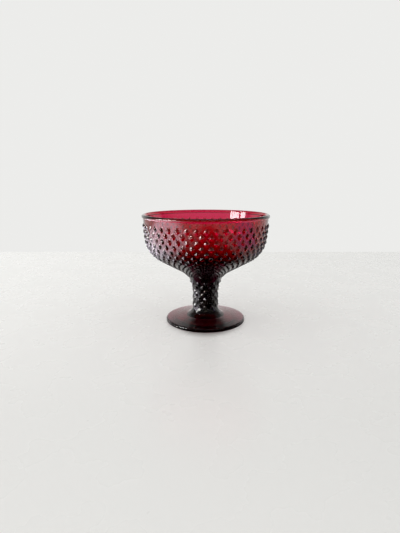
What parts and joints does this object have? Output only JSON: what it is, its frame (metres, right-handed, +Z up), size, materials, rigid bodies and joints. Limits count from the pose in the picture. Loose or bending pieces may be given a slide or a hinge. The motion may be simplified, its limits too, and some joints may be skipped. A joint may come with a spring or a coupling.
{
  "type": "footed bowl",
  "caption": "Footed bowl of deep red pressed glass, with a lattice of raised diamonds outside, a plain rounded lip, a slim stem in the same relief and a smooth round foot.",
  "frame": {"origin": "middle of the foot's standing ring, on the surface that the bowl stands on", "axes": "+Z up along the axis that the bowl is turned about; X and Y are alike"},
  "size_m": [0.1048, 0.1048, 0.0911],
  "materials": {
    "ruby_glass": "gloss"
  },
  "bodies": {
    "root": {"foot": "ruby_glass", "stem": "ruby_glass", "bowl": "ruby_glass"}
  },
  "joints": []
}
